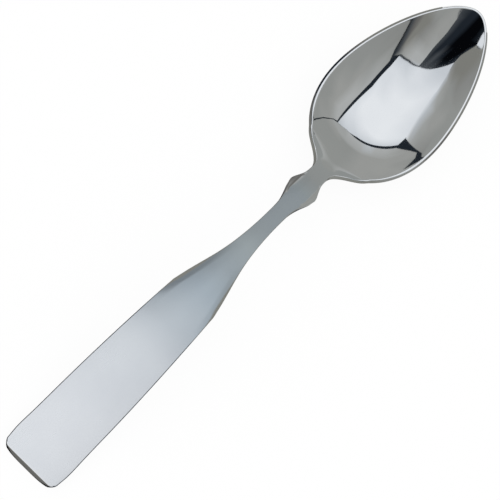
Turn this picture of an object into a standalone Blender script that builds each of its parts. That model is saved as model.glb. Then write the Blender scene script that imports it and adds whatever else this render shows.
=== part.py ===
import math

import bmesh
import bpy
import numpy as np

# Frame: X runs from the handle end to the bowl's tip, Z is up from the table, metres throughout
LENGTH = 0.1810
END_BOW = 0.0009
END_BOW_POWER = 4
END_X = END_BOW - LENGTH / 2

# Bowl: an egg-shaped rim, widest towards the heel, over a hollow that is softened to the heel and the sides
HEEL_X = 0.02490
TIP_X = 0.09002
BOWL_HALF_WIDTH = 0.01701
EGG_SHAPE = (1.0, -0.295, 0.033, 0.048, -0.103)
BOWL_CURVE = 30.32
BOWL_ROUND = 0.20
BOWL_TREND = 0.12
HEEL_SOFTENING = 0.45
SIDE_SOFTENING = 0.10
TIP_TURN = 0.60
TIP_TURN_START = 0.55
RIM_HEEL_Z = 0.00832
RIM_RISE = 0.060
LOW_POINT_SHIFT = -0.24

# Handle: half widths along the tongue, then from the shoulders along the shank to the heel
TONGUE = (
    (END_X, 0.00820),
    (-0.0890, 0.00862),
    (-0.0880, 0.00880),
    (-0.0858, 0.00900),
    (-0.0801, 0.00901),
    (-0.0703, 0.00884),
    (-0.0510, 0.00823),
    (-0.0321, 0.00719),
)
SHANK = (
    (-0.0321, 0.00719),
    (-0.0277, 0.00619),
    (-0.0190, 0.00391),
    (-0.0120, 0.00280),
    (0.0000, 0.00227),
    (0.0073, 0.00284),
    (0.0116, 0.00410),
    (0.0133, 0.00450),
    (0.0154, 0.00390),
    (0.0177, 0.00302),
    (0.0210, 0.00273),
    (0.0228, 0.00288),
    (0.0243, 0.00374),
    (0.0261, 0.00600),
    (0.0278, 0.00887),
    (0.02926, 0.01020),
)
CORNER_X = TONGUE[3][0]
SHOULDER_X = SHANK[0][0]
NECK_X = SHANK[-6][0]
FLARE_X = SHANK[-1][0]
FLARE_BOW_POWER = 1.5

# Side view: heights of the handle's upper face, and thickness of the metal along the spoon
HANDLE_LINE = (
    (-0.0905, 0.00195),
    (-0.0860, 0.00230),
    (-0.0750, 0.00450),
    (-0.0600, 0.00900),
    (-0.0450, 0.01370),
    (-0.0300, 0.01750),
    (-0.0180, 0.01890),
    (-0.0050, 0.01770),
    (0.0050, 0.01490),
    (0.0150, 0.01140),
    (0.0220, 0.00890),
    (0.0350, 0.00360),
)
GAUGE = (
    (-0.0905, 0.00230),
    (-0.0600, 0.00230),
    (-0.0300, 0.00265),
    (-0.0050, 0.00320),
    (0.0120, 0.00315),
    (0.0200, 0.00255),
    (0.0250, 0.00175),
    (0.0300, 0.00130),
    (0.0450, 0.00112),
    (0.0600, 0.00110),
    (0.0905, 0.00110),
)
GAUGE_SPREAD = 0.012
HEEL_BLEND = (0.0250, 0.0345)
TONGUE_CROWN = -3.0
SHANK_CROWN = -16.0
CROWN_TURN = (-0.0510, -0.0125)
VALLEY_TURN = (0.0150, 0.0300)

# Facets: a strip along each side of the handle carries the knuckle's ears and the rolled shoulders
STRIP = (
    (-0.0905, 0.0012),
    (-0.0420, 0.0014),
    (-0.0310, 0.0018),
    (-0.0105, 0.0008),
    (0.0035, 0.0006),
    (0.0195, 0.0006),
    (0.02926, 0.0016),
)
EAR_CREASE = 0.0029
EAR_SLOPE = 0.35
EAR_RANGE = (0.0078, 0.0186)
SHOULDER_SLOPE = 0.30
SHOULDER_RANGE = (-0.0400, -0.0300, -0.0105)

# Rounded edges, and the sharpest turn that is shaded as one smooth surface
EDGE_RADIUS = 0.0003
EDGE_STEPS = 2
SMOOTH_ANGLE = math.radians(40)

# Fineness of the mesh: rings and spokes of the bowl, and gaps between the handle's sections
BOWL_RINGS = 12
BOWL_SPOKES = 72
NECK_SPOKES = 12
FLARE_GAP = 0.0007
KNUCKLE_GAP = 0.0011
SHANK_GAP = 0.0016
TONGUE_GAP = 0.0024
CORNER_GAP = 0.0004
SLOPE_REACH = 0.00001
MERGE_DISTANCE = 0.000001

# Stainless steel
STEEL_COLOUR = (0.74, 0.75, 0.76, 1.0)
STEEL_ROUGHNESS = 0.18


def smooth_curve(points):
    """Natural cubic spline through the points, as a function."""
    x, y = np.array(points).T
    gap = np.diff(x)
    rise = np.diff(y) / gap
    matrix = np.eye(len(x))
    right = np.zeros(len(x))
    for i in range(1, len(x) - 1):
        matrix[i, i - 1 : i + 2] = gap[i - 1], 2 * (gap[i - 1] + gap[i]), gap[i]
        right[i] = 6 * (rise[i] - rise[i - 1])
    bend = np.linalg.solve(matrix, right)

    def value(at):
        i = min(max(int(np.searchsorted(x, at)) - 1, 0), len(gap) - 1)
        before = at - x[i]
        after = x[i + 1] - at
        cubic = (bend[i] * after**3 + bend[i + 1] * before**3) / (6 * gap[i])
        first = (y[i] / gap[i] - bend[i] * gap[i] / 6) * after
        second = (y[i + 1] / gap[i] - bend[i + 1] * gap[i] / 6) * before
        return float(cubic + first + second)

    return value


tongue_width = smooth_curve(TONGUE)
shank_width = smooth_curve(SHANK)
handle_line = smooth_curve(HANDLE_LINE)
gauge = smooth_curve(GAUGE)
strip_width = smooth_curve(STRIP)

BOWL_MIDDLE = (HEEL_X + TIP_X) / 2
BOWL_HALF_LENGTH = (TIP_X - HEEL_X) / 2


def step(low, high, at):
    """Smooth step from 0 at low to 1 at high."""
    u = min(max((at - low) / (high - low), 0.0), 1.0)
    return u * u * (3 - 2 * u)


def egg(v):
    """The bowl's width factor, v from -1 at the heel to 1 at the tip."""
    return BOWL_HALF_WIDTH * sum(c * v**i for i, c in enumerate(EGG_SHAPE))


def half_width(x):
    return tongue_width(x) if x < SHOULDER_X else shank_width(x)


def strip_start(x):
    """Distance from the middle at which the strip along the handle's side begins."""
    start = half_width(x) - strip_width(x)
    return min(start, EAR_CREASE) if EAR_RANGE[0] < x < EAR_RANGE[1] else start


def depth(v, y):
    """Depth of the bowl under the plane of its rim."""
    room = (1 - v * v) * egg(v) ** 2
    curve = BOWL_CURVE * (1 + BOWL_TREND * (v + v * v)) * (1 - HEEL_SOFTENING * ((1 - v) / 2) ** 5)
    curve *= 1 + TIP_TURN * max(v - TIP_TURN_START, 0.0) ** 2
    along = 1 + BOWL_ROUND * (1 - room / BOWL_HALF_WIDTH**2)
    across = 1 - SIDE_SOFTENING * (y / BOWL_HALF_WIDTH) ** 2
    return curve * along * across * (room - y * y)


def bowl_height(x, y):
    rim = RIM_HEEL_Z + RIM_RISE * (x - HEEL_X)
    return rim - depth((x - BOWL_MIDDLE) / BOWL_HALF_LENGTH, y)


def height(x, y):
    """Upper face before the facets: a crowned handle that turns into a valley and then into the bowl."""
    crown = TONGUE_CROWN + (SHANK_CROWN - TONGUE_CROWN) * step(*CROWN_TURN, x)
    middle = bowl_height(x, 0.0)
    share = step(*HEEL_BLEND, x)
    valley = step(*VALLEY_TURN, x)
    along = handle_line(x) * (1 - share) + middle * share
    return along + crown * y * y * (1 - valley) + (bowl_height(x, y) - middle) * valley


def facet_drop(x, y):
    """How far the ears and the shoulders fall below the upper face."""
    past = max(abs(y) - strip_start(x), 0.0) if x < NECK_X else 0.0
    if EAR_RANGE[0] < x < EAR_RANGE[1]:
        return EAR_SLOPE * past
    rise, full, fall = SHOULDER_RANGE
    return SHOULDER_SLOPE * past * step(rise, full, x) * (1 - step(full, fall, x))


def upper(x, y):
    return x, y, height(x, y) - facet_drop(x, y)


def lower(x, y):
    """Point of the lower face, one gauge below the upper face and never under the table."""
    d = SLOPE_REACH
    slope_x = (height(x + d, y) - height(x - d, y)) / (2 * d)
    slope_y = (height(x, y + d) - height(x, y - d)) / (2 * d)
    thickness = gauge(x + y * y / GAUGE_SPREAD)
    reach = thickness / math.sqrt(1 + slope_x**2 + slope_y**2)
    bow = 0.0
    if x < END_X + CORNER_GAP / 2:
        bow = END_BOW * (1 - abs(y / half_width(x)) ** END_BOW_POWER)
    z = max(height(x, y) - reach, 0.0)
    return x + slope_x * reach - bow, y + slope_y * reach, z


def bowl_plan(u, w):
    """Plan position of a point of the unit disc, with the disc's centre at the lowest point."""
    shift = LOW_POINT_SHIFT * (1 - u * u - w * w)
    return BOWL_MIDDLE + BOWL_HALF_LENGTH * (u + shift), w * egg(u)


def handle_plan(x, s):
    """Plan position across the handle, s from -1 to 1; the sections bow as they enter the bowl."""
    knee = 1 - 2 / NECK_SPOKES
    start = strip_start(x)
    across = abs(s) / knee * start
    if abs(s) > knee:
        across = start + (abs(s) - knee) / (1 - knee) * (half_width(x) - start)
    entry = max((x - NECK_X) / (FLARE_X - NECK_X), 0.0)
    bow = (FLARE_X - HEEL_X) * entry**FLARE_BOW_POWER
    return x - bow * (1 - s * s), math.copysign(across, s)


def run(start, stop, gap):
    """Evenly spaced sections from start to stop, without start."""
    count = math.ceil((start - stop) / gap)
    return [start + (stop - start) * i / count for i in range(1, count + 1)]


def sections():
    """Places along X of the handle's sections, from the bowl back to the end."""
    return (
        run(FLARE_X, NECK_X, FLARE_GAP)
        + run(NECK_X, 0.0, KNUCKLE_GAP)
        + run(0.0, SHOULDER_X, SHANK_GAP)
        + run(SHOULDER_X, CORNER_X, TONGUE_GAP)
        + run(CORNER_X, END_X, CORNER_GAP)
    )


def boundary(mesh):
    return [edge for edge in mesh.edges if edge.is_boundary]


def sheet():
    """Plan of the spoon as a flat sheet: a spun disc with the handle drawn out of its heel."""
    mesh = bmesh.new()
    spoke = [mesh.verts.new((i / BOWL_RINGS, 0, 0)) for i in range(BOWL_RINGS + 1)]
    edges = [mesh.edges.new(pair) for pair in zip(spoke, spoke[1:])]
    bmesh.ops.spin(
        mesh,
        geom=spoke + edges,
        axis=(0, 0, 1),
        cent=(0, 0, 0),
        angle=2 * math.pi,
        steps=BOWL_SPOKES,
        use_merge=True,
    )
    bmesh.ops.remove_doubles(mesh, verts=mesh.verts, dist=MERGE_DISTANCE)
    reach = math.cos(math.pi * (NECK_SPOKES + 1) / BOWL_SPOKES)
    front = [e for e in boundary(mesh) if all(v.co.x < -reach for v in e.verts)]
    for vert in mesh.verts:
        vert.co.x, vert.co.y = bowl_plan(vert.co.x, vert.co.y)
    for x in sections():
        drawn = bmesh.ops.extrude_edge_only(mesh, edges=front)["geom"]
        verts = [g for g in drawn if isinstance(g, bmesh.types.BMVert)]
        front = [g for g in drawn if isinstance(g, bmesh.types.BMEdge)]
        front = [e for e in front if all(v in verts for v in e.verts)]
        verts.sort(key=lambda v: v.co.y)
        for i, vert in enumerate(verts):
            vert.co.x, vert.co.y = handle_plan(x, 2 * i / NECK_SPOKES - 1)
    return mesh


def solid(mesh):
    """Gives the sheet its form, its thickness and its rounded edges."""
    plan = {vert: (vert.co.x, vert.co.y) for vert in mesh.verts}
    copy = bmesh.ops.duplicate(mesh, geom=mesh.verts[:] + mesh.edges[:] + mesh.faces[:])
    for vert, place in plan.items():
        vert.co = upper(*place)
        copy["vert_map"][vert].co = lower(*place)
    rims = boundary(mesh)
    bmesh.ops.bridge_loops(mesh, edges=rims)
    bmesh.ops.recalc_face_normals(mesh, faces=mesh.faces)
    bmesh.ops.bevel(
        mesh,
        geom=rims,
        offset=EDGE_RADIUS,
        segments=EDGE_STEPS,
        profile=0.5,
        affect="EDGES",
        clamp_overlap=True,
    )


def steel():
    material = bpy.data.materials.new("stainless_steel")
    material.use_nodes = True
    shader = material.node_tree.nodes["Principled BSDF"]
    shader.inputs["Base Color"].default_value = STEEL_COLOUR
    shader.inputs["Metallic"].default_value = 1.0
    shader.inputs["Roughness"].default_value = STEEL_ROUGHNESS
    return material


for leftover in list(bpy.data.objects):
    bpy.data.objects.remove(leftover)

parts = bpy.data.collections.new("dessert_spoon")
bpy.context.scene.collection.children.link(parts)

form = sheet()
solid(form)
mesh = bpy.data.meshes.new("spoon")
form.to_mesh(mesh)
form.free()
mesh.shade_smooth()
mesh.set_sharp_from_angle(angle=SMOOTH_ANGLE)
mesh.materials.append(steel())
parts.objects.link(bpy.data.objects.new("spoon", mesh))
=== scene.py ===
from math import cos, pi, radians, sin

import bmesh
import bpy
import numpy as np
from mathutils import Matrix, Vector


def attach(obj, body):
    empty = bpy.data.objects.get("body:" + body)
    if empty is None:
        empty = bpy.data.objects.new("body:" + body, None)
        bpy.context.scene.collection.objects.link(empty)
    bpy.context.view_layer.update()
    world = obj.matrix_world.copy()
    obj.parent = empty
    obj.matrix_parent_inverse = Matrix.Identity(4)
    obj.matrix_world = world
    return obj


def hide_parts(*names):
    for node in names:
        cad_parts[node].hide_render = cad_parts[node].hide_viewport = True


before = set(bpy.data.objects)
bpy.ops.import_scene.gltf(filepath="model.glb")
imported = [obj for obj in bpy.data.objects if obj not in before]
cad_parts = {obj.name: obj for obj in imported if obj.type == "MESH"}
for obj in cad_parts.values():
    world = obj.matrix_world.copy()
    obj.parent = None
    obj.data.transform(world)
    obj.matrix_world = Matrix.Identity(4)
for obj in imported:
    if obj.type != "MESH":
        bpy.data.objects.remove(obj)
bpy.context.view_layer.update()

mm = 0.001
world = bpy.context.scene.world or bpy.data.worlds.new("studio")
bpy.context.scene.world = world
bpy.context.scene.view_settings.view_transform = "Standard"


def linear(hexColour):  # sRGB hex to the linear values that shaders use
    parts = [int(hexColour[i:i + 2], 16) / 255 for i in (1, 3, 5)]
    return [c / 12.92 if c <= 0.04045 else ((c + 0.055) / 1.055) ** 2.4 for c in parts] + [1.0]


def addNode(tree, kind, links=None, values=None, **settings):
    node = tree.nodes.new("ShaderNode" + kind)
    for name, setting in settings.items():
        setattr(node, name, setting)
    for name, value in (values or {}).items():
        node.inputs[name].default_value = value
    for name, source in (links or {}).items():
        tree.links.new(source, node.inputs[name])
    return node


def newMaterial(name):
    material = bpy.data.materials.new(name)
    material.use_nodes = True
    material.node_tree.nodes.clear()
    return material, material.node_tree


def addObject(name, form, material):
    mesh = bpy.data.meshes.new(name)
    form.to_mesh(mesh)
    form.free()
    mesh.materials.append(material)
    thing = bpy.data.objects.new(name, mesh)
    bpy.context.scene.collection.objects.link(thing)
    return thing


# the spoon's form: one blank, rolled thin at the bowl, pressed to shape and polished
spoon = {
    "length": 181.0 * mm,
    "endBow": 0.9 * mm,  # the end face bulges under a straight top edge
    "endBowPower": 4,
    "endReach": 3.0 * mm,
    "cornerRound": 0.6 * mm,
    "cornerSpan": 1.2 * mm,
    "cornerBlend": 12.0 * mm,
    "heelX": 24.90 * mm,
    "tipX": 90.02 * mm,
    "bowlHalfWidth": 17.01 * mm,
    "eggShape": (1.0, -0.295, 0.033, 0.048, -0.103),
    "bowlCurve": 30.32,
    "bowlRound": 0.20,
    "bowlTrend": 0.12,
    "heelSoftening": 0.45,
    "heelPower": 5,
    "sideSoftening": 0.10,
    "tipTurn": (0.60, 0.55),  # the floor turns up a little more towards the tip
    "rimHeelZ": 8.32 * mm,
    "rimRise": 0.060,
    "heelBlend": (25.0 * mm, 34.5 * mm),
    "valleyTurn": (15.0 * mm, 30.0 * mm),
    "tongueCrown": -3.0,
    "shankCrown": -16.0,
    "crownTurn": (-51.0 * mm, -12.5 * mm),
    "gaugeSpread": 12.0 * mm,
    "neckX": 21.0 * mm,
    "flareX": 30.0 * mm,
    "shoulderX": -32.1 * mm,
    "cornerX": -85.8 * mm,
    "earCrease": 2.85 * mm,  # straight line that cuts the two ears off the knuckle
    "earFade": (6.8 * mm, 10.2 * mm, 14.0 * mm, 19.0 * mm),  # the facets come in and run out
    "earStep": 0.80,  # the facet begins steep and turns gentle
    "earSlope": 0.16,
    "creaseWidth": 0.6 * mm,
    "shoulderSlope": 0.36,
    "shoulderRoll": 0.65,  # share of the slope that comes in towards the edge
    "shoulderRange": (-40.0 * mm, -30.0 * mm, -10.5 * mm),
    "rimLand": (0.48 * mm, 0.31 * mm),  # at the flare and round the bowl
    "landTurn": (38.0 * mm, 52.0 * mm),
    "rimSoftness": 0.05 * mm,
    "rimRange": (24.6 * mm, 26.6 * mm),
    "edgeRadius": 0.24 * mm,
    "edgeSteps": 5,
    "edgeColumns": (0.62 * mm, 0.44 * mm, 0.30 * mm),  # inside the outline, near the land's inner edge
    "tipSpokes": 140,
    "innerColumns": 27,
    "stripColumns": 7,
    "stripRoom": (1.5, 1.2),  # least width of the strip and of an ear, against the edge columns
    "creaseShare": 1 / 8,
    "slopeReach": 0.01 * mm,
    "leastSlope": 0.001,
    "mergeDistance": 0.001 * mm,
    "sharpest": radians(40),
}
endX = spoon["endBow"] - spoon["length"] / 2
spoonCurves = {  # half widths, height of the upper face, thickness and side strip, all in mm
    "tongue": ((endX / mm, 8.20), (-89.0, 8.62), (-88.0, 8.80), (-85.8, 9.00), (-80.1, 9.01), (-70.3, 8.84),
               (-51.0, 8.23), (-32.1, 7.19)),
    "shank": ((-32.1, 7.19), (-27.7, 6.19), (-19.0, 3.91), (-12.0, 2.80), (0.0, 2.27), (7.3, 2.84), (11.6, 4.10),
              (13.3, 4.50), (15.4, 3.90), (17.7, 3.02), (21.0, 2.73), (22.8, 2.88), (24.3, 3.74), (26.1, 6.00),
              (27.8, 8.87), (30.0, 10.89)),
    "line": ((-90.5, 1.95), (-86.0, 2.30), (-75.0, 4.50), (-60.0, 9.00), (-45.0, 13.70), (-30.0, 17.50),
             (-18.0, 18.90), (-5.0, 17.70), (5.0, 14.90), (15.0, 11.40), (22.0, 8.90), (35.0, 3.60)),
    "gauge": ((-90.5, 2.30), (-60.0, 2.30), (-30.0, 2.65), (-5.0, 3.20), (12.0, 3.15), (20.0, 2.55), (25.0, 1.75),
              (30.0, 1.30), (45.0, 1.12), (60.0, 1.10), (90.5, 1.10)),
    "strip": ((-90.5, 1.2), (-42.0, 1.5), (-31.0, 2.1), (-10.5, 1.0), (3.5, 0.6), (19.5, 0.6), (28.5, 1.6),
              (91.0, 1.6)),
}
sectionGaps = (  # sections from the middle of the bowl back to the end: where to, and how far apart
    (spoon["flareX"], 0.40 * mm),
    (spoon["neckX"], 0.25 * mm),
    (0.0, 0.30 * mm),
    (spoon["shoulderX"], 0.40 * mm),
    (spoon["cornerX"], 0.60 * mm),
    (endX, 0.50 * mm),
)


def smoothCurve(points):  # natural cubic spline through a few points
    x, y = np.array(points).T * mm
    gap = np.diff(x)
    rise = np.diff(y) / gap
    matrix = np.eye(len(x))
    right = np.zeros(len(x))
    for i in range(1, len(x) - 1):
        matrix[i, i - 1:i + 2] = gap[i - 1], 2 * (gap[i - 1] + gap[i]), gap[i]
        right[i] = 6 * (rise[i] - rise[i - 1])
    bend = np.linalg.solve(matrix, right)

    def value(at):
        i = np.clip(np.searchsorted(x, at) - 1, 0, len(gap) - 1)
        before, after = at - x[i], x[i + 1] - at
        cubic = (bend[i] * after ** 3 + bend[i + 1] * before ** 3) / (6 * gap[i])
        first = (y[i] / gap[i] - bend[i] * gap[i] / 6) * after
        second = (y[i + 1] / gap[i] - bend[i + 1] * gap[i] / 6) * before
        return cubic + first + second

    return value


curves = {name: smoothCurve(points) for name, points in spoonCurves.items()}
bowlMiddle = (spoon["heelX"] + spoon["tipX"]) / 2
bowlHalfLength = (spoon["tipX"] - spoon["heelX"]) / 2


def ease(low, high, at):
    u = np.clip((at - low) / (high - low), 0, 1)
    return u * u * (3 - 2 * u)


def egg(v):
    return spoon["bowlHalfWidth"] * sum(c * v ** i for i, c in enumerate(spoon["eggShape"]))


def halfWidth(x):
    v = (x - bowlMiddle) / bowlHalfLength
    bowl = egg(v) * np.sqrt(np.maximum(1 - v * v, 0))
    handle = np.where(x < spoon["shoulderX"], curves["tongue"](x), curves["shank"](x))
    return np.where(x < spoon["flareX"], handle, bowl)


def edgeStretch(x):  # columns along the edge lie further apart where the outline runs across the sections
    d = spoon["slopeReach"]
    return np.hypot(1, (halfWidth(x + d) - halfWidth(x - d)) / (2 * d))


def onEar(x):
    return (x > spoon["earFade"][0]) & (x < spoon["earFade"][3])


def stripStart(x):  # where the strip along each side begins, or the crease of an ear
    room = spoon["edgeColumns"][0] * edgeStretch(x)
    start = halfWidth(x) - np.maximum(curves["strip"](x), spoon["stripRoom"][0] * room)
    return np.where(onEar(x), np.minimum(halfWidth(x) - spoon["stripRoom"][1] * room, spoon["earCrease"]), start)


def bowlDepth(x, y):  # under the plane of the rim
    v = (x - bowlMiddle) / bowlHalfLength
    room = (1 - v * v) * egg(v) ** 2
    curve = spoon["bowlCurve"] * (1 + spoon["bowlTrend"] * (v + v * v))
    curve *= 1 - spoon["heelSoftening"] * ((1 - v) / 2) ** spoon["heelPower"]
    curve *= 1 + spoon["tipTurn"][0] * np.maximum(v - spoon["tipTurn"][1], 0) ** 2
    along = 1 + spoon["bowlRound"] * (1 - room / spoon["bowlHalfWidth"] ** 2)
    across = 1 - spoon["sideSoftening"] * (y / spoon["bowlHalfWidth"]) ** 2
    return curve * along * across * (room - y * y)


def bowlHeight(x, y):
    return spoon["rimHeelZ"] + spoon["rimRise"] * (x - spoon["heelX"]) - bowlDepth(x, y)


def rimDrop(x, y):  # the rim is ground to a narrow flat land, from the flare of the neck on
    d = spoon["slopeReach"]
    lean = (halfWidth(x + d) - halfWidth(x - d)) / (2 * d)
    slope = np.hypot(bowlDepth(x + d, y) - bowlDepth(x - d, y), bowlDepth(x, y + d) - bowlDepth(x, y - d)) / (2 * d)
    fromEdge = (halfWidth(x) - np.abs(y)) / edgeStretch(x)
    wide, narrow = spoon["rimLand"]
    land = wide + (narrow - wide) * ease(*spoon["landTurn"], x)
    short = land - np.where(x < spoon["flareX"], fromEdge, bowlDepth(x, y) / np.maximum(slope, spoon["leastSlope"]))
    inward = (short + np.hypot(short, spoon["rimSoftness"])) / 2
    across = inward / edgeStretch(x)
    flare = topHeight(x, y) - topHeight(x + across * lean, np.abs(y) - across)
    return np.where(x < spoon["flareX"], flare, slope * inward) * ease(*spoon["rimRange"], x)


def topHeight(x, y):  # crowned handle, then a valley, then the bowl
    crown = spoon["tongueCrown"] + (spoon["shankCrown"] - spoon["tongueCrown"]) * ease(*spoon["crownTurn"], x)
    middle = bowlHeight(x, 0.0)
    share = ease(*spoon["heelBlend"], x)
    valley = ease(*spoon["valleyTurn"], x)
    along = curves["line"](x) * (1 - share) + middle * share
    return along + crown * y * y * (1 - valley) + (bowlHeight(x, y) - middle) * valley


def facetDrop(x, y):  # the ears' facets and the rolled shoulders
    past = np.where(x < spoon["neckX"], np.maximum(np.abs(y) - stripStart(x), 0), 0)
    steep = np.minimum(past, spoon["creaseWidth"])
    turned = steep - steep ** 2 / (2 * spoon["creaseWidth"])
    ear = spoon["earSlope"] * past + (spoon["earStep"] - spoon["earSlope"]) * turned
    rise, full, fall = spoon["shoulderRange"]
    roll = spoon["shoulderRoll"]
    rolled = past * (1 - roll + roll * past / (halfWidth(x) - stripStart(x)))
    shoulder = spoon["shoulderSlope"] * rolled * ease(rise, full, x) * (1 - ease(full, fall, x))
    ear = ear * ease(*spoon["earFade"][:2], x) * (1 - ease(*spoon["earFade"][2:], x))
    return np.where(onEar(x), ear, shoulder)


def nearEnd(x):
    return np.maximum(1 - (x - endX) / spoon["endReach"], 0)


def lowerFace(x, y):  # one thickness below the upper face, and never under the table
    d = spoon["slopeReach"]
    slopeX = (topHeight(x + d, y) - topHeight(x - d, y)) / (2 * d)
    slopeY = (topHeight(x, y + d) - topHeight(x, y - d)) / (2 * d)
    thickness = curves["gauge"](x + y * y / spoon["gaugeSpread"])
    reach = thickness / np.sqrt(1 + slopeX ** 2 + slopeY ** 2)
    across = np.where(x < spoon["cornerX"], np.minimum(np.abs(y) / halfWidth(x), 1), 1)
    bow = spoon["endBow"] * (1 - across ** spoon["endBowPower"]) * nearEnd(x)
    return x + slopeX * reach - bow, y + slopeY * reach, np.maximum(topHeight(x, y) - reach, 0)


def acrossSection(x):  # places across one half of a section, from the middle to the edge
    half, start = halfWidth(x), stripStart(x)
    inner = np.linspace(0, start, spoon["innerColumns"] + 1)
    crease = (half - start) * spoon["creaseShare"]
    edge = half - np.array(spoon["edgeColumns"]) * edgeStretch(x)
    strip = np.linspace(start + crease, edge[0], spoon["stripColumns"] - 1)
    return np.concatenate([inner, strip, edge[1:], [half]])


def sectionPlan(x):  # plan of one section, with the corners of the handle end rounded off
    half = acrossSection(x)
    share = ease(spoon["cornerX"], spoon["cornerX"] + spoon["cornerBlend"], x)
    half[:-1] = half[:-1] * share + acrossSection(endX)[:-1] * (1 - share)
    past = np.maximum(half - half[-1] + spoon["cornerSpan"], 0) / spoon["cornerSpan"]
    places = x + spoon["cornerRound"] * nearEnd(x) * past ** 2
    return np.concatenate([places[:0:-1], places]), np.concatenate([-half[:0:-1], half])


def spoonSheet():  # flat sheet: half a disc for the tip, and the rest drawn out of its straight side
    form = bmesh.new()
    places = acrossSection(bowlMiddle) / halfWidth(bowlMiddle)
    spoke = [form.verts.new((0, -r, 0)) for r in places]
    edges = [form.edges.new(pair) for pair in zip(spoke, spoke[1:])]
    bmesh.ops.spin(form, geom=spoke + edges, axis=(0, 0, 1), cent=(0, 0, 0), angle=pi, steps=spoon["tipSpokes"])
    bmesh.ops.remove_doubles(form, verts=form.verts, dist=spoon["mergeDistance"])
    straight = [v for v in form.verts if abs(v.co.x) < spoon["mergeDistance"]]
    front = [e for e in form.edges if e.is_boundary and all(v in straight for v in e.verts)]
    for vert in form.verts:
        vert.co.x, vert.co.y = bowlMiddle + bowlHalfLength * vert.co.x, vert.co.y * egg(vert.co.x)
    start = bowlMiddle
    for stop, gap in sectionGaps:
        for x in np.linspace(start, stop, round((start - stop) / gap) + 1)[1:]:
            drawn = bmesh.ops.extrude_edge_only(form, edges=front)["geom"]
            verts = {g for g in drawn if isinstance(g, bmesh.types.BMVert)}
            front = [g for g in drawn if isinstance(g, bmesh.types.BMEdge) and verts.issuperset(g.verts)]
            row = sorted(verts, key=lambda v: v.co.y)
            for vert, place in zip(row, zip(*sectionPlan(x))):
                vert.co.x, vert.co.y = place
        start = stop
    return form


def spoonSolid(form):  # upper face, lower face, the wall between them and rounded edges
    burnish = form.verts.layers.float.new("burnish")
    drawn = bmesh.ops.extrude_face_region(form, geom=form.faces[:], use_keep_orig=True)["geom"]
    above = {g for g in drawn if isinstance(g, bmesh.types.BMVert)}
    walls = [face for face in form.faces if 0 < len(above.intersection(face.verts)) < len(face.verts)]
    rims = [e for face in walls for e in face.edges if len(above.intersection(e.verts)) != 1]
    top, bottom = list(above), [vert for vert in form.verts if vert not in above]
    x, y = np.array([vert.co.xy for vert in top]).T
    for vert, place in zip(top, zip(x, y, topHeight(x, y) - facetDrop(x, y) - rimDrop(x, y))):
        vert.co = place
    x, y = np.array([vert.co.xy for vert in bottom]).T
    for vert, place in zip(bottom, zip(*lowerFace(x, y))):
        vert.co = place
    bmesh.ops.recalc_face_normals(form, faces=form.faces)
    rounded = bmesh.ops.bevel(form, geom=rims, offset=spoon["edgeRadius"], segments=spoon["edgeSteps"], profile=0.5,
                              affect="EDGES", material=-1, clamp_overlap=False)
    for vert in rounded["verts"]:
        vert[burnish] = 1.0


# polished stainless steel: the bowl and neck are buffed to a mirror, the handle to a soft bright satin
steel = {
    "pale": "#e9eaeb",
    "deep": "#e3e4e6",
    "bowlRoughness": 0.035,
    "neckRoughness": 0.12,
    "handleRoughness": 0.24,
    "burnishedRoughness": 0.06,
    "handleTurn": (-60 * mm, -8 * mm),  # satin fades out along the shank
    "neckTurn": (8 * mm, 34 * mm),
    "cloudSize": 14 * mm,  # faint uneven buffing
    "cloudDepth": 0.04,
    "grainWidth": 0.30 * mm,  # polishing lines are about 0.05 mm, drawn wider so that they show
    "grainLength": 18 * mm,
    "grainDepth": 0.0006 * mm,
    "grainRoughness": 0.03,
    "noiseRange": (0.3, 0.7),
}


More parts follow.
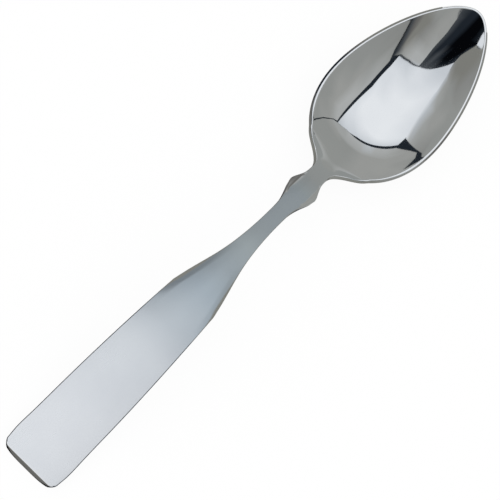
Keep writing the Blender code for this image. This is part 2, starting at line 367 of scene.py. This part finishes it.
def polishedSteel():
    material, tree = newMaterial("polishedStainlessSteel")
    low, high = steel["noiseRange"]
    coords = addNode(tree, "TexCoord").outputs["Object"]
    along = addNode(tree, "SeparateXYZ", {"Vector": coords}).outputs["X"]
    satin = addNode(tree, "MapRange", {"Value": along}, {
        "From Min": steel["handleTurn"][0], "From Max": steel["handleTurn"][1], "To Min": 1.0, "To Max": 0.0,
    }, interpolation_type="SMOOTHSTEP").outputs["Result"]
    ends = addNode(tree, "MapRange", {"Value": along}, {
        "From Min": steel["neckTurn"][0], "From Max": steel["neckTurn"][1],
        "To Min": steel["neckRoughness"], "To Max": steel["bowlRoughness"],
    }, interpolation_type="SMOOTHSTEP").outputs["Result"]
    clouds = addNode(tree, "TexNoise", {"Vector": coords}, {
        "Scale": 1 / steel["cloudSize"], "Detail": 3.0, "Roughness": 0.55}).outputs["Fac"]
    stretched = addNode(tree, "Mapping", {"Vector": coords}, {
        "Scale": (1 / steel["grainLength"], 1 / steel["grainWidth"], 1 / steel["grainLength"])}).outputs["Vector"]
    grain = addNode(tree, "TexNoise", {"Vector": stretched}, {
        "Scale": 1.0, "Detail": 2.0, "Roughness": 0.6}).outputs["Fac"]
    uneven = addNode(tree, "MapRange", {"Value": clouds}, {
        "From Min": low, "From Max": high, "To Min": -steel["cloudDepth"], "To Max": steel["cloudDepth"]})
    lined = addNode(tree, "MapRange", {"Value": grain}, {
        "From Min": low, "From Max": high, "To Min": -steel["grainRoughness"], "To Max": steel["grainRoughness"]})
    texture = addNode(tree, "Math", {0: uneven.outputs["Result"], 1: lined.outputs["Result"]}, operation="ADD")
    satinRoughness = addNode(tree, "Math", {0: texture.outputs[0]}, {1: steel["handleRoughness"]}, operation="ADD")
    roughness = addNode(tree, "Mix", {
        "Factor": satin, "A": ends, "B": satinRoughness.outputs[0]}).outputs["Result"]
    burnish = addNode(tree, "Attribute", attribute_name="burnish", attribute_type="GEOMETRY").outputs["Fac"]
    worn = addNode(tree, "Mix", {"Factor": burnish, "A": roughness}, {"B": steel["burnishedRoughness"]})
    colour = addNode(tree, "ValToRGB", {"Fac": clouds})
    for stop, place, shade in zip(colour.color_ramp.elements, steel["noiseRange"], ("deep", "pale")):
        stop.position = place
        stop.color = linear(steel[shade])
    lines = addNode(tree, "Bump", {"Height": grain, "Strength": satin}, {"Distance": steel["grainDepth"]})
    shader = addNode(tree, "BsdfPrincipled", {
        "Base Color": colour.outputs["Color"],
        "Roughness": worn.outputs["Result"],
        "Normal": lines.outputs["Normal"],
    }, {"Metallic": 1.0})
    addNode(tree, "OutputMaterial", {"Surface": shader.outputs["BSDF"]})
    return material


form = spoonSheet()
spoonSolid(form)
piece = addObject("polishedSpoon", form, polishedSteel())
piece.data.shade_smooth()
piece.data.set_sharp_from_angle(angle=spoon["sharpest"])
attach(piece, "root")
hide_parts("spoon")
print("spoon", len(piece.data.vertices), "points")

# light tent: cards that only the polished metal sees, so their edges show in the bowl as in a real tent
shades = {  # sRGB of the fabric, from lit to unlit
    "white": "#f9fcff",
    "pale": "#edf1f5",
    "fading": "#d9dee3",
    "light": "#c6cbcf",
    "silver": "#b9bbba",
    "soft": "#aeb0ae",
    "mid": "#a5a6a3",
    "grey": "#9c9e9b",
    "dull": "#939491",
    "dim": "#898983",
    "dusk": "#706f6c",
    "night": "#4b4f53",
    "ink": "#22282f",
    "black": "#06070a",
}
tentZ = 250
panels = {  # flat cards at the height of the tent: rows of x, y in mm and the shade there
    "ceiling": [
        [(101, -271, "fading"), (80, -154, "fading"), (64, -30, "pale"), (55, 82, "fading"), (45, 182, "fading")],
        [(118, -248, "pale"), (99, -149, "pale"), (88, 0, "pale"), (84, 114, "pale"), (68, 226, "fading")],
        [(137, -240, "pale"), (125, -145, "pale"), (112, 0, "white"), (114, 134, "white"), (97, 261, "pale")],
        [(164, -219, "pale"), (158, -146, "white"), (143, 0, "white"), (157, 135, "white"), (128, 277, "pale")],
        [(220, -225, "pale"), (205, -146, "white"), (188, 0, "white"), (207, 135, "white"), (177, 318, "pale")],
        [(309, -228, "pale"), (275, -147, "pale"), (246, 0, "white"), (274, 136, "white"), (273, 402, "pale")],
        [(507, -246, "light"), (419, -119, "fading"), (363, 16, "fading"), (352, 172, "fading"), (340, 404, "fading")],
    ],
    "leftSide": [
        [(23, 271, "dim"), (38, 184, "dim"), (45, 184, "dull"), (68, 226, "light"), (97, 261, "fading"),
         (128, 277, "pale"), (177, 318, "pale"), (283, 409, "pale")],
        [(27, 310, "dim"), (43, 280, "dim"), (59, 261, "dim"), (81, 284, "mid"), (114, 325, "soft"),
         (143, 337, "light"), (195, 369, "light"), (322, 485, "silver")],
        [(29, 404, "dim"), (57, 432, "dim"), (77, 399, "dim"), (101, 381, "grey"), (146, 481, "grey"),
         (182, 490, "mid"), (221, 472, "soft"), (362, 564, "soft")],
        [(35, 471, "dull"), (82, 659, "dull"), (107, 597, "dull"), (137, 560, "dull"), (208, 744, "grey"),
         (240, 695, "mid"), (299, 658, "mid"), (470, 780, "grey")],
        [(57, 732, "dull"), (128, 1021, "dull"), (167, 1016, "dull"), (218, 1051, "grey"), (285, 1067, "grey"),
         (324, 983, "grey"), (376, 926, "grey"), (625, 1100, "dull")],
        [(68, 1300, "dull"), (170, 1500, "dull"), (230, 1500, "dull"), (300, 1500, "dull"), (380, 1500, "grey"),
         (440, 1450, "grey"), (540, 1400, "grey"), (930, 1480, "grey")],
        [(80, 2600, "dull"), (280, 2600, "dull"), (400, 2600, "dull"), (520, 2600, "dull"), (650, 2600, "dull"),
         (800, 2600, "dull"), (950, 2400, "dull"), (1500, 1750, "grey")],
        [(240, 8000, "dull"), (860, 8000, "dull"), (1230, 8000, "dull"), (1600, 8000, "dull"), (2000, 8000, "dull"),
         (2460, 8000, "dull"), (2920, 8000, "dull"), (8000, 7500, "grey")],
    ],
    "rightSide": [
        [(511, -266, "silver"), (405, -262, "silver"), (317, -259, "silver"), (227, -258, "silver"),
         (175, -265, "silver"), (146, -286, "soft"), (125, -305, "mid")],
        [(576, -331, "soft"), (427, -359, "silver"), (379, -348, "silver"), (281, -333, "silver"),
         (204, -332, "soft"), (160, -343, "soft"), (122, -388, "grey")],
        [(685, -407, "mid"), (540, -513, "mid"), (473, -495, "mid"), (349, -466, "mid"), (238, -467, "mid"),
         (182, -492, "grey"), (113, -492, "dull")],
        [(953, -582, "mid"), (730, -736, "grey"), (617, -704, "grey"), (449, -648, "mid"), (302, -639, "grey"),
         (234, -679, "grey"), (108, -664, "dull")],
        [(1281, -760, "grey"), (1070, -1116, "grey"), (838, -1005, "grey"), (594, -895, "grey"), (412, -869, "grey"),
         (308, -926, "grey"), (107, -878, "dull")],
        [(3400, -1900, "grey"), (2700, -2750, "grey"), (2200, -2800, "grey"), (1550, -2600, "grey"),
         (1180, -2600, "dull"), (780, -2600, "dull"), (108, -2600, "dull")],
        [(8900, -5000, "grey"), (8000, -7500, "grey"), (6000, -8000, "grey"), (4300, -8000, "grey"),
         (3300, -8000, "dull"), (2200, -8000, "dull"), (108, -8000, "dull")],
    ],
    "farSide": [
        [(511, -247, "soft"), (421, -119, "soft"), (398, -63, "silver"), (385, 51, "silver"), (382, 159, "light"),
         (382, 239, "silver"), (382, 327, "silver"), (376, 426, "soft")],
        [(585, -326, "soft"), (549, -152, "soft"), (532, -63, "soft"), (530, 57, "soft"), (556, 170, "soft"),
         (535, 292, "soft"), (518, 427, "soft"), (424, 566, "mid")],
        [(684, -393, "mid"), (599, -178, "mid"), (598, -63, "grey"), (597, 58, "grey"), (600, 203, "mid"),
         (599, 349, "mid"), (618, 530, "mid"), (478, 716, "mid")],
        [(860, -503, "grey"), (747, -224, "grey"), (703, -69, "grey"), (709, 68, "grey"), (765, 265, "mid"),
         (809, 478, "mid"), (799, 687, "mid"), (566, 932, "mid")],
        [(965, -570, "grey"), (862, -259, "grey"), (820, -78, "grey"), (830, 80, "grey"), (882, 313, "mid"),
         (993, 587, "mid"), (1007, 836, "mid"), (705, 1080, "grey")],
        [(1285, -735, "grey"), (1171, -382, "grey"), (1740, -195, "grey"), (1740, 195, "grey"), (1190, 392, "mid"),
         (1177, 623, "mid"), (1439, 1039, "mid"), (1310, 1416, "mid")],
        [(3450, -1860, "grey"), (3400, -1180, "grey"), (3400, -400, "grey"), (3400, 400, "grey"), (3400, 1050, "grey"),
         (3250, 1500, "grey"), (3050, 2100, "grey"), (2640, 2615, "grey")],
        [(9000, -4800, "grey"), (9000, -3000, "grey"), (9000, -1000, "grey"), (9000, 1000, "grey"),
         (9000, 2800, "grey"), (8700, 4200, "grey"), (8500, 6000, "grey"), (8000, 7500, "grey")],
    ],
    "tipSide": [
        [(65, -49, "light"), (61, -51, "silver"), (54, -58, "silver"), (41, -75, "soft"), (34, -82, "mid"),
         (27, -91, "mid"), (13, -130, "mid")],
        [(77, -155, "silver"), (73, -158, "silver"), (65, -163, "silver"), (49, -170, "mid"), (36, -178, "mid"),
         (23, -187, "mid"), (7, -166, "mid")],
        [(97, -269, "grey"), (91, -269, "mid"), (80, -265, "mid"), (60, -273, "dull"), (44, -289, "dull"),
         (28, -307, "grey"), (6, -219, "mid")],
        [(121, -332, "ink"), (108, -336, "night"), (94, -345, "dim"), (69, -350, "dim"), (50, -364, "dim"),
         (34, -388, "grey"), (-8, -393, "grey")],
        [(116, -465, "black"), (101, -459, "night"), (85, -454, "dusk"), (69, -458, "dim"), (56, -463, "dim"),
         (37, -482, "grey"), (-10, -500, "grey")],
        [(108, -631, "black"), (96, -630, "night"), (79, -640, "dusk"), (68, -648, "dusk"), (56, -658, "dim"),
         (37, -692, "grey"), (-10, -700, "grey")],
        [(108, -4000, "black"), (96, -4000, "night"), (79, -4000, "dusk"), (68, -4000, "dusk"), (56, -4000, "dim"),
         (37, -4000, "grey"), (-10, -4000, "grey")],
    ],
    "darkSlit": [
        [(64, -46, "night"), (64, -21, "night"), (62, 3, "night"), (59, 45, "night"), (55, 82, "ink"),
         (50, 133, "ink"), (45, 182, "ink")],
        [(41, -73, "night"), (41, -35, "ink"), (41, 0, "night"), (41, 35, "ink"), (41, 69, "black"),
         (41, 119, "black"), (39, 182, "ink")],
        [(34, -80, "night"), (32, -38, "ink"), (31, 0, "ink"), (31, 40, "black"), (31, 74, "black"),
         (31, 129, "black"), (31, 190, "black")],
        [(27, -89, "night"), (26, -40, "ink"), (25, 0, "ink"), (25, 40, "black"), (25, 79, "black"),
         (25, 138, "black"), (25, 236, "black")],
        [(19, -111, "night"), (19, -44, "ink"), (19, 0, "ink"), (19, 45, "black"), (20, 84, "black"),
         (20, 148, "black"), (23, 268, "black")],
        [(13, -128, "night"), (13, -54, "ink"), (13, 0, "ink"), (13, 50, "black"), (13, 89, "black"),
         (13, 158, "black"), (13, 252, "ink")],
        [(6, -217, "night"), (6, -59, "ink"), (6, 0, "ink"), (6, 49, "black"), (6, 89, "black"),
         (6, 148, "black"), (6, 211, "ink")],
        [(-40, -230, "night"), (-40, -60, "ink"), (-40, 0, "ink"), (-40, 50, "black"), (-40, 90, "black"),
         (-40, 150, "black"), (-40, 200, "ink")],
    ],
    "tipCard": [
        [(23, 270, "pale"), (29, 404, "pale"), (35, 471, "pale"), (57, 732, "fading"), (80, 2600, "fading"),
         (240, 8000, "fading")],
        [(6, 213, "pale"), (-40, 385, "pale"), (-40, 450, "pale"), (-40, 700, "fading"), (-40, 2600, "fading"),
         (-40, 8000, "fading")],
    ],
    "handleSide": [
        [(-40, 600, "pale"), (-400, 600, "pale")],
        [(-40, -600, "pale"), (-400, -600, "pale")],
    ],
}
backing = {"x": (-60, 9500), "y": (-9000, 9000), "z": 254, "shade": "ink"}  # seen in the gaps as dark seams
graded = {  # one long card over the handle and heel, bright at the end and grey over the neck
    "columns": (1.0, 0.34, 0.0, -0.34, -1.0),
    "stations": (  # x, z, half width, shade, and how bright its left and right sides are against the middle
        (-200, 45, 70, "#f2f5f9", 1.0, 0.85),
        (-88, 45, 70, "#f2f5f9", 1.0, 0.85),
        (-78, 45, 70, "#e7ebf0", 1.0, 0.85),
        (-59, 45, 70, "#e2e7ec", 0.95, 0.85),
        (-48, 45, 70, "#cbd3da", 0.66, 0.80),
        (-29, 45, 70, "#b4c0c9", 0.45, 0.88),
        (-15, 45, 70, "#a6b0b6", 0.58, 0.85),
        (2, 45, 70, "#a6afb2", 0.76, 1.0),
        (16, 45, 70, "#9ea6a9", 0.85, 1.0),
        (21, 32, 40, "#9aa2a6", 0.90, 1.0),
        (26, 20.5, 10, "#979fa3", 0.90, 1.0),
        (27.5, 20, 5, "#979fa1", 0.95, 1.0),
        (35.5, 20, 5, "#989c9b", 0.95, 1.0),
        (37.5, 20, 11, "#9a9d9b", 1.0, 1.0),
        (52, 20, 11.5, "#9a9d9b", 1.0, 1.0),
    ),
}
flags = {  # low cards that follow the outline a little outside it and draw the thin dark edges of the metal
    "gap": 1.5 * mm,
    "lift": ((-90, 4.0), (-46, 4.0), (-38, 1.25), (91, 1.25)),  # x and height over the edge, in mm
    "under": 3.0 * mm,
    "step": 2.0 * mm,
    "crestRange": (6 * mm, 27 * mm),
    "crest": (3 * mm, "mid"),  # taller and paler beside the ears
    "left": (  # x, shade on the table and shade upright
        (-90, "ink", "ink"), (-42, "ink", "ink"), (-34, "dusk", "dim"), (-20, "dusk", "dim"), (-8, "dusk", "dim"),
        (6, "dusk", "dusk"), (9, "ink", "dusk"), (20, "ink", "dusk"), (26, "dusk", "dim"), (33, "night", "dusk"),
        (40, "ink", "ink"), (52, "ink", "ink"), (57, "night", "dusk"), (61, "dusk", "dim"), (84, "dim", "dim")),
    "right": (
        (-90, "night", "night"), (-42, "night", "night"), (-34, "night", "dim"), (-20, "night", "dim"),
        (6, "night", "dim"), (9, "night", "grey"), (19, "night", "grey"), (28, "dusk", "dim"), (34, "dim", "dull"),
        (44, "dim", "dull"), (49, "dusk", "dusk"), (56, "dusk", "dusk"), (60, "dim", "dim"), (88, "dim", "dull")),
    "endHalf": 30,
    "end": ((-89.9, "black"), (-90.45, "black"), (-90.65, "dusk"), (-91.4, "dusk"), (-95, "dim"), (-140, "soft")),
}


def tentMaterial():
    material, tree = newMaterial("tentFabric")
    shade = addNode(tree, "Attribute", attribute_name="shade", attribute_type="GEOMETRY")
    glow = addNode(tree, "Emission", {"Color": shade.outputs["Color"]}, {"Strength": 1.0})
    addNode(tree, "OutputMaterial", {"Surface": glow.outputs["Emission"]})
    return material


def tentCard(name, rows, material):  # rows of points x, y, z in m and their linear shade
    form = bmesh.new()
    shade = form.verts.layers.float_color.new("shade")
    bmesh.ops.create_grid(form, x_segments=len(rows[0]) - 1, y_segments=len(rows) - 1, size=1)
    for vert, point in zip(form.verts, (point for row in rows for point in row)):
        vert.co, vert[shade] = point[:3], point[3]
    card = addObject(name, form, material)
    card.visible_camera = False
    card.visible_diffuse = False
    card.visible_transmission = False
    card.visible_volume_scatter = False
    card.visible_shadow = False


def panelRows(rows):
    return [[(x * mm, y * mm, tentZ * mm, linear(shades[shade])) for x, y, shade in row] for row in rows]


def backingRows():
    return [[(x * mm, y * mm, backing["z"] * mm, linear(shades[backing["shade"]])) for x in backing["x"]]
            for y in backing["y"]]


def gradedRows():
    rows = []
    for x, z, reach, shade, left, right in graded["stations"]:
        middle = np.array(linear(shade)[:3])
        sides = zip(graded["columns"], (left, left, 1.0, right, right))
        rows.append([(x * mm, reach * column * mm, z * mm, [*middle * side, 1.0]) for column, side in sides])
    return rows


def flagRows(side, stations):
    places = np.array([x for x, low, high in stations]) * mm
    shadesAt = np.array([linear(shades[low]) + linear(shades[high]) for x, low, high in stations])
    crest, crestShade = flags["crest"]
    rows = []
    for x in np.arange(places[0], places[-1] + flags["step"] / 2, flags["step"]):
        colour = [float(np.interp(x, places, channel)) for channel in shadesAt.T]
        low, high = colour[:4], colour[4:]
        edge = float(halfWidth(x))
        top = float(topHeight(x, edge)) + float(np.interp(x, *np.array(flags["lift"]).T * mm))
        out = side * (edge + flags["gap"])
        tall = top + crest * (flags["crestRange"][0] < x < flags["crestRange"][1])
        rows.append([(x, side * (edge - flags["under"]), 0.0, low), (x, out, 0.0, low), (x, out, 0.0, high),
                     (x, out, top, high), (x, out, tall, linear(shades[crestShade]))])
    return rows


def endRows():
    return [[(x * mm, y * mm, 0.0, linear(shades[shade])) for y in (flags["endHalf"], -flags["endHalf"])]
            for x, shade in flags["end"]]


fabric = tentMaterial()
for name, rows in panels.items():
    tentCard(name, panelRows(rows), fabric)
tentCard("backing", backingRows(), fabric)
tentCard("gradedCard", gradedRows(), fabric)
tentCard("leftFlag", flagRows(1, flags["left"]), fabric)
tentCard("rightFlag", flagRows(-1, flags["right"]), fabric)
tentCard("endFlag", endRows(), fabric)
print("tent", len(panels) + 5, "cards")

# plain room: a pale table and white air, white to the camera and to the metal
room = {
    "tableSize": 4.0,
    "tableZ": -0.1 * mm,
    "table": "#f4f4f4",
    "white": "#ffffff",
    "seenWhite": 0.93,  # what is left shows the soft shadow
    "light": 1.1,
}


def seenDirectly(tree):  # camera, glossy and transmission rays
    path = addNode(tree, "LightPath").outputs
    pair = addNode(tree, "Math", {0: path["Is Camera Ray"], 1: path["Is Glossy Ray"]}, operation="MAXIMUM")
    return addNode(tree, "Math", {0: pair.outputs[0], 1: path["Is Transmission Ray"]}, operation="MAXIMUM").outputs[0]


def tableMaterial():
    material, tree = newMaterial("paleTable")
    share = addNode(tree, "Math", {0: seenDirectly(tree)}, {1: room["seenWhite"]}, operation="MULTIPLY")
    matt = addNode(tree, "BsdfDiffuse", values={"Color": linear(room["table"])})
    white = addNode(tree, "Emission", values={"Color": linear(room["white"]), "Strength": 1.0})
    both = addNode(tree, "MixShader", {0: share.outputs[0], 1: matt.outputs[0], 2: white.outputs[0]})
    addNode(tree, "OutputMaterial", {"Surface": both.outputs[0]})
    return material


form = bmesh.new()
bmesh.ops.create_grid(form, x_segments=1, y_segments=1, size=room["tableSize"] / 2)
bmesh.ops.translate(form, verts=form.verts, vec=(0, 0, room["tableZ"]))
addObject("table", form, tableMaterial())

world.use_nodes = True
tree = world.node_tree
tree.nodes.clear()
brightness = addNode(tree, "Mix", {"Factor": seenDirectly(tree)}, {"A": room["light"], "B": 1.0})
air = addNode(tree, "Background", {"Strength": brightness.outputs["Result"]}, {"Color": linear(room["white"])})
addNode(tree, "OutputWorld", {"Surface": air.outputs[0]})

# camera: half a metre away, tilted towards the handle, and rolled so that the spoon lies corner to corner
camera = {
    "distance": 0.5,
    "tilt": radians(22),
    "lean": radians(1.37),  # it stands a little to the right of the spoon
    "roll": radians(45.05),
    "target": Vector((-8.558, -1.336, 8.0)) * mm,
    "lens": 136.656,
    "sensor": 36.0,
}


def addCamera():
    data = bpy.data.cameras.new("camera")
    data.lens = camera["lens"]
    data.sensor_width = camera["sensor"]
    eye = bpy.data.objects.new("camera", data)
    bpy.context.scene.collection.objects.link(eye)
    away = Vector((cos(camera["tilt"]), 0, sin(camera["tilt"])))
    left = Vector((0, 1, 0))
    back = Vector((-sin(camera["tilt"]), 0, cos(camera["tilt"])))
    right = away * cos(camera["roll"]) - left * sin(camera["roll"])
    up = away * sin(camera["roll"]) + left * cos(camera["roll"])
    turn = Matrix.Rotation(camera["lean"], 4, "X") @ Matrix((right, up, back)).transposed().to_4x4()
    eye.matrix_world = Matrix.Translation(camera["target"]) @ turn @ Matrix.Translation((0, 0, camera["distance"]))
    bpy.context.scene.camera = eye


addCamera()
print("camera set")
